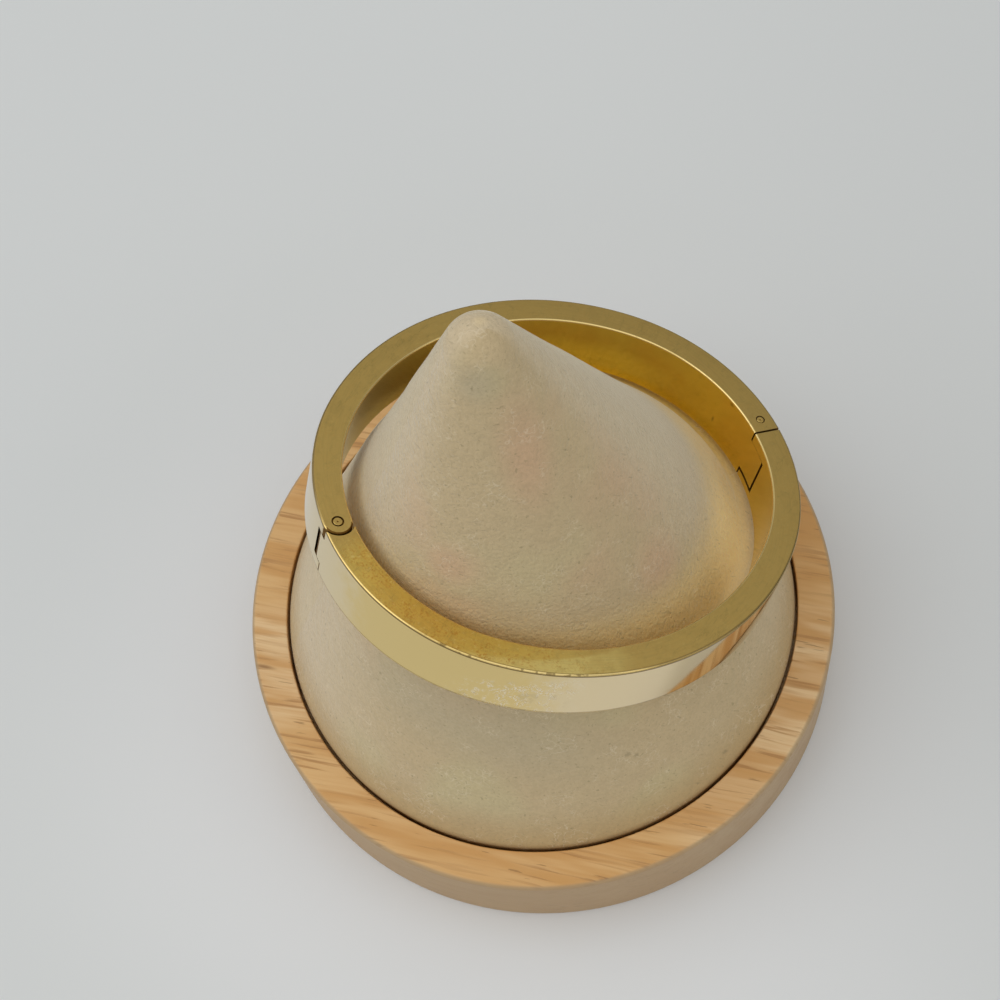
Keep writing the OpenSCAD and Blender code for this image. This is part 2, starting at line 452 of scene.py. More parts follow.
class Finish(Nodes):
    """One procedural material, with colours laid over a first one, in patterns in millimetres"""

    def __init__(self, name, colour, **sockets):
        self.material = bpy.data.materials.new(name)
        self.material.use_nodes = True
        super().__init__(self.material.node_tree)
        self.tree.nodes.clear()
        self.shader = self.node("ShaderNodeBsdfPrincipled", **sockets)
        output = self.node("ShaderNodeOutputMaterial")
        self.tree.links.new(self.shader.outputs[0], output.inputs["Surface"])
        self.colour = colour

    def set(self, socket, value):
        """Sets a socket of the shader to a value, or joins a pattern to it"""
        self.feed(self.shader.inputs[socket], value)

    def lay(self, colour, share, strength=None):
        """Turns the base colour into another by a share from 0 to 1, weakened by a strength"""
        if strength is not None:
            share = share * strength
        self.colour = self.mix(share, self.colour, colour)

    def done(self):
        """The finished material"""
        self.set("Base Color", self.colour)
        return self.material

    def place(self, turn=(0.0, 0.0, 0.0), stretch=(1.0, 1.0, 1.0), shift=(0.0, 0.0, 0.0)):
        """Object coordinates in millimetres, turned and stretched along their axes"""
        turned = self.node("ShaderNodeMapping", Vector=self.coordinates("Object"))
        turned.vector_type = "TEXTURE"
        turned.inputs["Location"].default_value = [MM * s for s in shift]
        turned.inputs["Rotation"].default_value = turn
        turned.inputs["Scale"].default_value = [MM * s for s in stretch]
        return Pattern(self, turned.outputs[0])

    def band_place(self, stretch=(1.0, 1.0, 1.0), at=(0.0, 0.0, 0.0)):
        """Coordinates in millimetres in the bangle's own frame, counted from a place in it"""
        origin = PLACE @ (Vector(at) * MM)
        return self.place(tuple(PLACE.to_euler("XYZ")), stretch, [c / MM for c in origin])

    def spot(self, at, reach, turn=(0.0, 0.0, 0.0)):
        """1 at a place given in millimetres, fading to 0 at its reach along each axis"""
        return self.place(turn, reach, at).length().ramp(1.0, 0.1)

    def spots(self, *places):
        """Several spots, each given by its place and reach"""
        found = self.spot(*places[0])
        for place in places[1:]:
            found = found | self.spot(*place)
        return found

    def band_spot(self, at, reach):
        """Spot at a place given in the bangle's own frame"""
        return self.band_place(reach, at).length().ramp(1.0, 0.1)

    def drawn_out(self, turn, distance, height, stretch):
        """Coordinates in millimetres with everything drawn out along the band"""
        arc = END_ARC_R / MM * pi / 180.0
        return self.joined(turn * (arc / stretch), distance, height)

    def bump(self, height, depth, strength=1.0, under=None):
        """Relief of that depth in millimetres, laid over another relief if one is given"""
        made = self.node("ShaderNodeBump", Height=height, Strength=strength, Distance=depth * MM)
        if under is not None:
            self.feed(made.inputs["Normal"], under)
        return Pattern(self, made.outputs[0])


def toned(colour, *shares):
    """Colour made darker or lighter, by one share or by one each for red, green and blue"""
    return tuple(c * k for c, k in zip(colour, shares * 3))


def wood_finish(look):
    """Oiled light wood with broad streaks, brown vessel dashes and a turned side made greyer and
    darker, partly its own tone and partly painted shade and painted reflection of the floor
    """
    finish = Finish("oiled_wood", look.light, IOR=1.45)
    turn = (0.0, 0.0, look.grain_turn)
    straight = finish.place(turn)
    sway = straight.stretched(2.2).noise(22.0, 1.5)
    grain = straight.reckon_place("ADD", finish.joined(0.0, sway * 4.5, 0.0))
    azimuth, distance, _ = finish.place().around()
    paler = azimuth.ramp(167.0, 175.0) | azimuth.ramp(-160.0, -168.0)
    finish.lay(look.pale, paler | azimuth.between(-70.0, -16.0, 8.0))
    # Darker stretch on the top at the right: partly a darker band of the grain, partly painted shadow
    # of the bangle and cone
    finish.lay(look.dark, azimuth.between(0.0, 16.0, 5.0), 0.9)
    finish.lay(look.dark, grain.stretched(9.0).noise(2.4, 2.0, 0.6).ramp(0.38, 0.66), 0.85)
    finish.lay(look.dark, grain.stretched(4.0).noise(9.0, 1.0).ramp(0.42, 0.7), 0.5)
    fibres = grain.stretched(30.0).noise(0.3, 2.0, 0.6)
    finish.lay(look.dark, fibres.ramp(0.4, 0.75), 0.25)
    crowded = grain.stretched(2.5).noise(6.0, 1.0).ramp(0.38, 0.6)
    dashes = grain.stretched(19.0).noise(0.56, 1.0).ramp(0.55, 0.70)
    dashes = dashes * (crowded * 0.6 + 0.3)
    finish.lay(look.vessel, dashes)
    pores = grain.stretched(12.0).noise(0.36, 1.0).ramp(0.71, 0.78)
    finish.lay(look.pore, pores, 0.55)
    knot = finish.spot((-43.6, -2.2, BASE_T / MM), (2.6, 0.5, 2.0), turn)
    finish.lay(look.pore, knot, 0.8)
    # Turned side made greyer and darker: partly its own tone, partly painted shade and painted
    # reflection of the grey floor
    finish.lay(look.side, distance.ramp(BASE_R / MM - 0.7, BASE_R / MM - 0.2), 0.8)
    relief = fibres * 0.35 - (dashes + pores)
    finish.set("Normal", finish.bump(relief, 0.05, 0.7))
    finish.set("Roughness", fibres * 0.12 + 0.46)
    return finish.done()


def suede_finish(look):
    """Soft napped cloth with warm and cool patches, curly pale fibres and specks, and with painted
    shade, painted sheen and painted gold light near the band
    """
    finish = Finish("suede_cloth", look.cloth, Roughness=0.95, IOR=1.4)
    finish.set("Specular IOR Level", 0.15)
    finish.set("Sheen Roughness", 0.34)
    plain = finish.place()
    turn, _, height = plain.around()
    _, _, above = finish.band_place().around()
    nap = plain.noise(0.5, 2.0, 0.6)
    clumps = plain.noise(1.9, 2.0, 0.55)
    cool = finish.place(shift=(-20, 50, 10)).noise(17.0, 1.5).ramp(0.46, 0.66)
    cool = cool | finish.spots(
        ((11.0, -7.0, 80.0), (6.0, 8.0, 14.0)),
        ((-1.3, -5.0, 96.0), (4.0, 3.0, 4.0)),
    )
    finish.lay(look.moss, cool, 0.7)
    warm = finish.place(shift=(13, 20, 0)).noise(20.0, 1.5).ramp(0.44, 0.66)
    warm = warm | finish.spots(
        ((1.8, -9.5, 85.0), (5.0, 9.0, 15.0)),
        ((17.3, -13.8, 55.3), (8.0, 7.0, 9.0)),
        ((-10.2, -13.4, 67.0), (7.0, 6.0, 6.0)),
    )
    finish.lay(look.blush, warm * height.between(42.0, 94.0, 4.0), 0.85)
    # Painted sheen: the cover is made paler towards its left and right sides, away from the front
    aside = ((turn + 88.0) * (pi / 180.0)).reckon("COSINE")
    finish.lay(look.pale, aside.ramp(0.75, 0.1))
    shaded = above.between(-18.0, -1.0, 6.0) * turn.between(-150.0, -85.0, 20.0)
    shaded = shaded | finish.spot((-2.5, -4.5, 95.5), (4.0, 3.5, 4.5))
    finish.lay(look.shaded, shaded, 0.8)
    # Painted light and shade: the cover darkens and warms towards the wood
    finish.lay(look.foot, height.ramp(25.0, 15.5))
    # Painted shade: the cover darkens where it goes down into the pocket's gap
    finish.lay(look.hem, height.ramp(17.0, 15.4), 0.8)
    # Painted light: the cover is warmed and lightened near the band's inner wall on the right and on
    # the left, standing in for the gold's light thrown back onto it
    rubbed = turn.ramp(54.0, 26.0) + turn.ramp(150.0, 165.0)
    rubbed = rubbed * above.between(-2.0, 8.5, 4.0)
    finish.lay(look.polished, rubbed, 0.85)
    # The sheen's tint is painted: warmer towards the right and warmer still where the gold's light is
    # painted, standing in for warmer light there
    tint = finish.mix(turn.ramp(-100.0, -30.0), (1.0, 0.95, 0.89), (1.0, 0.93, 0.77))
    finish.set("Sheen Tint", finish.mix(rubbed, tint, (1.0, 0.91, 0.70)))
    # Painted reflection: a golden strip on the cover just under the band's edge, to the right and back,
    # where the sheen is also left out
    painted_reflection_mask = above.between(-2.2, 0.3, 0.5) * turn.between(15.0, 95.0, 20.0)
    finish.lay(look.painted_gold_reflection, painted_reflection_mask)
    sheen = painted_reflection_mask.ramp(1.0, 0.0) * height.ramp(15.5, 17.5)
    finish.set("Sheen Weight", sheen * 0.95)
    # Painted light: the cover near the band on the right glows faintly in gold, standing in for the
    # gold's light thrown back onto it
    painted_gold_glow = finish.spot((28.5, -6.5, 38.5), (9.0, 14.0, 10.0))
    finish.set("Emission Color", look.polished)
    finish.set("Emission Strength", painted_gold_glow * 0.12)
    finish.lay(look.speck, (nap * 0.65 + clumps * 0.35).ramp(0.4, 0.62), 0.13)
    curls = plain.noise(1.1, 1.0).lines(0.010)
    patchy = plain.noise(4.5, 1.0).ramp(0.48, 0.62)
    finish.lay(look.fibre, curls * patchy, 0.30)
    finish.lay(look.speck, plain.noise(0.55, 0.0).ramp(0.775, 0.83), 0.4)
    for fibre_turn in ((0.4, 0.9, 0.3), (1.2, 0.2, 2.1)):
        fibre = finish.place(fibre_turn, (8.0, 1.0, 1.0)).noise(0.34, 0.0)
        finish.lay(look.speck, fibre.ramp(0.77, 0.82), 0.28)
    marks = finish.spots(
        ((8.0, -31.6, 30.7), (0.8, 1.0, 0.6)),
        ((9.2, -31.6, 29.9), (0.6, 1.0, 0.45)),
        ((22.3, -30.2, 18.9), (1.5, 0.5, 0.6)),
    )
    finish.lay(look.speck, marks, 0.5)
    # Pale spot on the tip: partly wear, partly a painted highlight
    finish.lay(look.tip_wear_and_highlight, finish.spot((-0.6, 1.2, 99.8), (1.3, 1.2, 1.2)), 0.55)
    inside = above.ramp(-3.0, 3.0)
    folds = finish.bump(clumps, 0.45, 0.4)
    finish.set("Normal", finish.bump(nap, 0.4, inside * 0.3 + 0.3, folds))
    return finish.done()


def rim_finish(look):
    """Satin gold with brush marks and clouds, richer and speckled, then with a painted pale reflection,
    along the front, where a painted dark line follows the outer edge
    """
    finish = Finish("satin_rim_gold", look.rim, Metallic=1.0)
    flat = finish.band_place()
    turn, distance, height = flat.around()
    brushed = finish.drawn_out(turn, distance, height, 14.0).noise(0.26, 2.0, 0.6)
    speckle = flat.noise(0.32, 3.0, 0.7)
    mottle = flat.noise(1.1, 3.0, 0.65)
    cloud = flat.noise(4.0)
    turn = turn + turn.reckon("GREATER_THAN", 168.0) * -360.0
    edge = turn + (cloud - 0.5) * 26.0
    rich = turn.ramp(-182.4, -174.0) * edge.ramp(-98.0, -136.0)
    finish.lay(look.rim_rich, rich)
    # Painted reflection: a pale strip along the rim's outer edge at the front, widening towards the
    # right
    _, from_front, _ = finish.band_place(at=[c / MM for c in FRONT_SIDE]).around()
    depth = from_front * -1.0 + SIDE_ARC_R / MM
    reflection_wedge = (depth - (turn + 146.0) * 0.085).ramp(0.45, -0.15)
    pale = turn.ramp(-147.0, -140.0) * edge.ramp(-100.0, -120.0)
    finish.lay(look.rim_painted_reflection, pale * reflection_wedge)
    worn = rich * 0.5 + 0.1
    blotch = flat.noise(2.6, 3.0, 0.6).ramp(0.42, 0.6)
    grain = speckle.ramp(0.46, 0.64) * (blotch * 1.1 + 0.3)
    finish.lay(toned(look.rim_rich, 0.82, 0.60, 0.40), grain * worn)
    finish.lay(look.rim_glint, flat.noise(0.6, 3.0, 0.65).ramp(0.58, 0.68) * worn)
    # Painted dark line just inside the rim's outer edge along the front, standing in for a dark
    # reflection there
    painted_dark_line = depth.between(0.2, 0.34, 0.05) * turn.ramp(-20.0, -60.0)
    finish.lay(look.tarnish_and_shade, painted_dark_line * turn.ramp(-178.0, -170.0), 0.5)
    dull = toned(look.rim, 0.62)
    finish.lay(dull, mottle.ramp(0.5, 0.7), 0.17)
    finish.lay(dull, brushed.ramp(0.45, 0.7), 0.14)
    finish.lay(dull, cloud.ramp(0.5, 0.75), 0.2)
    scratches = finish.place((0.3, 0.2, 0.9), (5.0, 1.0, 1.0)).noise(0.9).lines(0.006)
    finish.lay(dull, scratches * cloud.ramp(0.46, 0.6), 0.3)
    finish.set("Roughness", cloud * 0.14 + 0.26 + brushed * 0.06)
    relief = finish.bump(brushed, 0.012, 0.4)
    finish.set("Normal", finish.bump(speckle, 0.02, 0.4, relief))
    return finish.done()


def outer_finish(look):
    """Mirror gold with hairlines, a yellower worn stretch, pale scuffs, grubby patches, a painted
    darker reflection of the wood and painted dark lines along its edges
    """
    finish = Finish("polished_outer_gold", look.outer, Metallic=1.0)
    flat = finish.band_place()
    turn, distance, height = flat.around()
    ragged = flat.noise(2.4, 3.0, 0.65)
    edge = turn + (ragged - 0.5) * 18.0
    finish.lay(look.outer_worn, edge.between(-171.0, -121.0, 7.0))
    grains = flat.noise(0.3, 3.0, 0.7).ramp(0.48, 0.58)
    rising = height + (turn + 137.0) * -0.17
    where = edge.between(-139.0, -114.0, 4.0) * rising.ramp(5.6, 4.0)
    scuffed = grains * where * flat.noise(1.3).ramp(0.42, 0.58)
    finish.lay(look.scuff, scuffed, 0.85)
    # Darker stretch on the right-front of the outer wall: a painted reflection of the darker wood
    # there; in the scuffed stretch the same colour lays grubby patches
    grime_and_dark_reflection = toned(look.outer_worn, 0.62)
    finish.lay(grime_and_dark_reflection, turn.between(-90.0, -30.0, 4.0), 0.5)
    finish.lay(grime_and_dark_reflection, ragged.ramp(0.56, 0.66) * where, 0.3)
    # Painted dark lines on the outer wall, just under the top bevel and just above the foot, standing
    # in for shade and dark reflections there
    top = (BAND_H - look.bevel) / MM
    tarnish_and_shade = height.between(top - 0.16, top + 0.1, 0.03)
    foot = height.between(0.2, 0.42, 0.06) * 0.5
    finish.lay(look.tarnish_and_shade, tarnish_and_shade + foot, 0.8)
    hairs = finish.drawn_out(turn, distance, height, 16.0).noise(0.2, 1.0)
    rough = flat.noise(5.0) * 0.06 + 0.045 + hairs.ramp(0.62, 0.74) * 0.05
    finish.set("Roughness", rough + scuffed * 0.25)
    dents = finish.bump(flat.noise(3.5, 1.0), 0.02, 0.3)
    finish.set("Normal", finish.bump(scuffed, 0.02, 0.5, dents))
    return finish.done()


def inner_finish(look):
    """Mirror gold, deeper in colour, with amber clouds and a painted darker reflection on its left, for
    the inner wall
    """
    finish = Finish("polished_inner_gold", look.inner, Metallic=1.0)
    flat = finish.band_place()
    turn, distance, height = flat.around()
    amber = flat.noise(7.0).ramp(0.42, 0.68)
    patch = turn.between(-14.0, 7.0, 3.0)
    finish.lay(look.inner_amber, amber * 0.6 | patch * 0.6)
    # Painted reflection: the left part of the inner wall is darkened, standing in for a darker
    # reflection there
    painted_dark_reflection = toned(look.inner, 0.5, 0.55, 0.7)
    finish.lay(painted_dark_reflection, turn.between(92.0, 142.0, 12.0), 0.2)
    finish.lay(look.inner_lit, turn.between(32.0, 80.0, 12.0) * height.ramp(7.0, 3.0))
    marks = finish.band_spot((30.73, 3.04, 8.9), (0.9, 0.6, 0.5))
    marks = marks | finish.band_spot((30.41, 5.1, 3.4), (0.9, 0.35, 0.8))
    finish.lay(look.tarnish_and_shade, marks, 0.5)
    finish.set("Roughness", flat.noise(4.0) * 0.1 + 0.13)
    hairs = finish.drawn_out(turn, distance, height, 16.0).noise(0.25, 1.0)
    dents = finish.bump(flat.noise(3.0, 1.0), 0.008, 0.2)
    finish.set("Normal", finish.bump(hairs, 0.002, 0.2, dents))
    return finish.done()


def edge_finish(look):
    """Burnished gold with small nicks, for the bevels along the band's edges, with painted dark
    reflections and a painted dark line under the outer top bevel
    """
    finish = Finish("burnished_edge_gold", look.edge, Metallic=1.0)
    flat = finish.band_place()
    turn, distance, height = flat.around()
    nicks = flat.noise(0.8).ramp(0.55, 0.68)
    finish.lay(look.rim, nicks, 0.3)
    outside = distance.ramp(31.4, 31.8)
    near_hinge = turn.ramp(-125.0, -150.0) + turn.ramp(166.0, 172.0)
    finish.lay(look.rim, outside * near_hinge, 0.5)
    # Painted dark reflection on the outer bevels round the back and right, worn dark patches at the
    # front, and a painted dark line under the top bevel
    dark = outside * turn.between(-98.0, 170.0, 6.0)
    worn = turn.between(-150.0, -112.0, 3.0) * outside
    worn = worn * flat.noise(0.9, 1.0).ramp(0.5, 0.6)
    under = height.between(BAND_H / MM - 0.3, BAND_H / MM - 0.17, 0.03) * outside
    finish.lay(look.tarnish_and_shade, (dark * 0.6 + worn * 0.6) | under * 0.8)
    finish.set("Roughness", nicks * 0.12 + 0.14)
    return finish.done()


def cut_finish(look):
    """Dark tarnished gold, for the faces inside the hinge, the notch and the seams"""
    finish = Finish("cut_gold", look.tarnish_and_shade, Metallic=1.0)
    marks = finish.band_place().noise(0.3)
    finish.lay(toned(look.tarnish_and_shade, 2.5), marks)
    finish.set("Roughness", marks * 0.2 + 0.5)
    finish.set("Normal", finish.bump(marks, 0.01, 0.5))
    return finish.done()


def take(piece):
    """Makes a piece the active one and the only one selected"""
    bpy.ops.object.select_all(action="DESELECT")
    bpy.context.view_layer.objects.active = piece
    piece.select_set(True)


def start_piece(piece, name):
    """Names a new primitive and opens it for editing"""
    piece.name = name
    piece.data.name = name
    bpy.ops.object.mode_set(mode="EDIT")


def pick(piece, kind, test):
    """Selects only those faces or edges of the piece being edited that pass the test"""
    bpy.ops.mesh.select_mode(type=kind)
    bpy.ops.mesh.select_all(action="DESELECT")
    mesh = bmesh.from_edit_mesh(piece.data)
    chosen = mesh.faces if kind == "FACE" else mesh.edges
    for part in chosen:
        if test(part):
            part.select_set(True)
    bmesh.update_edit_mesh(piece.data)


def ring_edges(radius, height):
    """Test for the edges of one level circle about the z axis"""
    near = 0.02 * MM

    def test(edge):
        return all(
            abs(v.co.z - height) < near and abs(hypot(v.co.x, v.co.y) - radius) < near
            for v in edge.verts
        )

    return test


def add_pillar(name, radius, z0, z1, at=Vector((0.0, 0.0, 0.0)), sides=PIN_SIDES):
    """Upright cylinder from z0 to z1"""
    bpy.ops.mesh.primitive_cylinder_add(
        vertices=sides,
        radius=radius,
        depth=z1 - z0,
        location=(at.x, at.y, (z0 + z1) / 2),
    )
    piece = bpy.context.object
    piece.name = name
    bpy.ops.object.transform_apply(location=True, rotation=True, scale=True)
    return piece


def sweep(name, r0, r1, z0, z1, path, corner=0.0, corner_steps=1):
    """Closed block of a radial section, swept along arcs given as centre, start and end"""
    centre, start, _ = path[0]
    at = on_arc(centre, (r0 + r1) / 2, start)
    bpy.ops.mesh.primitive_plane_add(
        size=1.0,
        location=(at.x, at.y, (z0 + z1) / 2),
        rotation=(pi / 2, 0.0, radians(start)),
    )
    piece = bpy.context.object
    piece.scale = (r1 - r0, z1 - z0, 1.0)
    bpy.ops.object.transform_apply(location=True, rotation=True, scale=True)
    start_piece(piece, name)
    if corner:
        bpy.ops.mesh.bevel(
            offset=corner, segments=corner_steps, profile=0.5, affect="VERTICES"
        )
    for centre, start, end in path:
        bpy.ops.mesh.spin(
            steps=max(1, round(abs(end - start) / SWEEP_STEP)),
            angle=radians(start - end),
            center=centre,
            axis=(0.0, 0.0, 1.0),
        )
    bpy.ops.mesh.select_all(action="SELECT")
    bpy.ops.mesh.remove_doubles(threshold=0.001 * MM)
    bpy.ops.mesh.normals_make_consistent(inside=False)
    bpy.ops.object.mode_set(mode="OBJECT")
    return piece


def work(piece, tool, operation):
    """Joins the tool to the piece, or cuts it out of it"""
    take(piece)
    modifier = piece.modifiers.new("work", "BOOLEAN")
    modifier.operation = operation
    modifier.solver = "EXACT"
    modifier.object = tool
    bpy.ops.object.modifier_apply(modifier=modifier.name)
    bpy.data.objects.remove(tool)


def bore(piece, at, radius, groove):
    """Bore for a pin right through the band, with a groove round each end"""
    work(piece, add_pillar("drill", radius, -PAST, BAND_H + PAST, at), "DIFFERENCE")
    for z0, z1 in ((-PAST, GROOVE_DEPTH), (BAND_H - GROOVE_DEPTH, BAND_H + PAST)):
        work(piece, add_pillar("countersink", radius + groove, z0, z1, at), "DIFFERENCE")


def end_piece(piece, body, replaced, smooth_turn=35.0):
    """Shades a finished piece, ties it to its body and hides the solids it replaces"""
    take(piece)
    bpy.ops.object.shade_smooth_by_angle(angle=radians(smooth_turn))
    modifier = piece.modifiers.new("flat faces stay flat", "WEIGHTED_NORMAL")
    modifier.keep_sharp = True
    bpy.ops.object.modifier_apply(modifier=modifier.name)
    bpy.ops.object.select_all(action="DESELECT")
    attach(piece, body)
    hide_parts(*replaced)


def put_on_cone(piece):
    """Moves a piece from the bangle's own frame to its place round the cone"""
    take(piece)
    piece.matrix_world = PLACE
    bpy.ops.object.transform_apply(location=True, rotation=True, scale=True)


def wall_depth(point):
    """Distance of a point from the oval's outer wall, inwards"""
    x, y = point.x, point.y
    turn = abs(degrees(atan2(y, abs(x) - END_X)))
    if turn <= BLEND:
        return END_ARC_R - hypot(abs(x) - END_X, y)
    return SIDE_ARC_R - hypot(x, abs(y) + SIDE_Y)


RIM, OUTER, INNER, EDGE, CUT = range(5)


def band_materials(piece, finishes):
    """Gives each face of a band half the finish of its surface"""
    piece.data.materials.clear()
    for finish in finishes:
        piece.data.materials.append(finish)
    near = 0.03 * MM
    corner = bpy.context.scene.bangle_gold.bevel + near
    for face in piece.data.polygons:
        depth = wall_depth(face.center)
        height = face.center.z
        at_rim = min(height, BAND_H - height)
        upright = abs(face.normal.z) < 0.2
        if abs(face.normal.z) > 0.98 and at_rim < near:
            face.material_index = RIM
        elif at_rim < corner and (depth < corner or depth > WALL_T - corner):
            face.material_index = EDGE
        elif upright and depth < near:
            face.material_index = OUTER
        elif upright and depth > WALL_T - near:
            face.material_index = INNER
        else:
            face.material_index = CUT


class BANGLE_OT_wooden_base(bpy.types.Operator):
    """Model the round wooden base with its pocket"""

    bl_idname = "bangle.wooden_base"
    bl_label = "Wooden base"

    def execute(self, context):
        look = context.scene.bangle_wood
        bpy.ops.mesh.primitive_cylinder_add(
            vertices=BASE_SIDES,
            radius=BASE_R,
            depth=BASE_T,
            location=(0.0, 0.0, BASE_T / 2),
        )
        base = context.object
        bpy.ops.object.transform_apply(location=True, rotation=True, scale=True)
        start_piece(base, "turned_base")
        pick(base, "FACE", lambda f: f.normal.z > 0.9)
        bpy.ops.mesh.inset(thickness=BASE_R - POCKET_R, depth=0.0)
        bpy.ops.mesh.extrude_region_move(
            TRANSFORM_OT_translate={"value": (0.0, 0.0, -POCKET_DEPTH)}
        )
        for z in (0.0, BASE_T):
            pick(base, "EDGE", ring_edges(BASE_R, z))
            bpy.ops.mesh.bevel(offset=look.edge, segments=5, profile=0.5)
        pick(base, "EDGE", ring_edges(POCKET_R, BASE_T))
        bpy.ops.mesh.bevel(offset=0.25 * MM, segments=3, profile=0.5)
        bpy.ops.object.mode_set(mode="OBJECT")
        base.data.materials.append(wood_finish(look))
        end_piece(base, STAND, ["wood_base"])
        return {"FINISHED"}


class BANGLE_OT_covered_cone(bpy.types.Operator):
    """Model the cone with its soft cloth cover"""

    bl_idname = "bangle.covered_cone"
    bl_label = "Covered cone"

    def execute(self, context):
        look = context.scene.bangle_suede
        profile = [
            (CONE_FOOT_R - 0.5 * MM, POCKET_FLOOR),
            (CONE_FOOT_R, POCKET_FLOOR + 0.5 * MM),
            (CONE_FOOT_R, BASE_T - 1.2 * MM),
        ]
        join_r = TIP_R * cos(CONE_HALF_ANGLE)
        join_z = TIP_CENTRE_Z + TIP_R * sin(CONE_HALF_ANGLE)
        for i in range(FLANK_RINGS + 1):
            k = i / FLANK_RINGS
            r = CONE_FOOT_R + k * (join_r - CONE_FOOT_R)
            profile.append((r, BASE_T + k * (join_z - BASE_T)))
        for i in range(1, TIP_RINGS):
            turn = CONE_HALF_ANGLE + i / TIP_RINGS * (pi / 2 - CONE_HALF_ANGLE)
            profile.append((TIP_R * cos(turn), TIP_CENTRE_Z + TIP_R * sin(turn)))
        r0, z0 = profile[0]
        bpy.ops.mesh.primitive_circle_add(
            vertices=CONE_SIDES, radius=r0, fill_type="NGON", location=(0.0, 0.0, z0)
        )
        cone = context.object
        bpy.ops.object.transform_apply(location=True, rotation=True, scale=True)
        start_piece(cone, "suede_cone")
        for r, z in profile[1:]:
            bpy.ops.mesh.extrude_region_move(
                TRANSFORM_OT_translate={"value": (0.0, 0.0, z - z0)}
            )
            bpy.ops.transform.resize(
                value=(r / r0, r / r0, 1.0), center_override=(0.0, 0.0, z)
            )
            r0, z0 = r, z
        bpy.ops.mesh.poke()
        pick(cone, "FACE", lambda f: True)
        bpy.ops.mesh.normals_make_consistent(inside=False)
        bpy.ops.object.mode_set(mode="OBJECT")
        self.settle_cloth(cone, look.unevenness)
        cone.data.materials.append(suede_finish(look))
        end_piece(cone, STAND, ["cone"], 60.0)
        return {"FINISHED"}

    def settle_cloth(self, cone, unevenness):
        """Leans the tip and rubs it flat, and lays waves, bulge, waist and hem into the flank"""
        for vertex in cone.data.vertices:
            spot = vertex.co
            up = max(0.0, (spot.z - BASE_T) / (TIP_Z - BASE_T))
            calm = min(1.0, 4 * up, 6 * (1 - up) + 0.2)
            r = hypot(spot.x, spot.y)
            self.push_out(spot, r, unevenness * calm * noise.noise(spot / WAVE))
            spot.z -= CROWN_SINK * max(0.0, 1 - (r / CROWN_R) ** 2) * (up > 0.9)
            spot.x += TIP_LEAN * up
            self.push_out(spot, r, self.swelling(spot))

    def push_out(self, spot, r, by):
        """Moves a place at that distance from the axis outwards, except near the axis"""
        if r > AXIS_R:
            spot.x *= 1 + by / r
            spot.y *= 1 + by / r

    def swelling(self, spot):
        """How far the cloth at a place stands out from the plain cone"""
        above = (FROM_CONE @ spot).z
        aside = max(0.0, cos(atan2(spot.y, spot.x) - BULGE_SIDE))
        bulge = BULGE * aside * self.hump(above, BULGE_FOOT, BULGE_PEAK, BULGE_TOP)
        waist = WAIST * self.hump(above, WAIST_FOOT, WAIST_PEAK, TIP_Z)
        hem = HEM * self.hump(spot.z, BASE_T - HEM_REACH, BASE_T, BASE_T + HEM_REACH)
        return bulge - waist + hem

    def hump(self, height, foot, peak, top):
        """0 at the foot and the top and 1 at the peak, with soft ends"""
        if not foot < height < top:
            return 0.0
        share = (height - foot) / (peak - foot) if height < peak else (top - height) / (top - peak)
        return share * share * (3 - 2 * share)


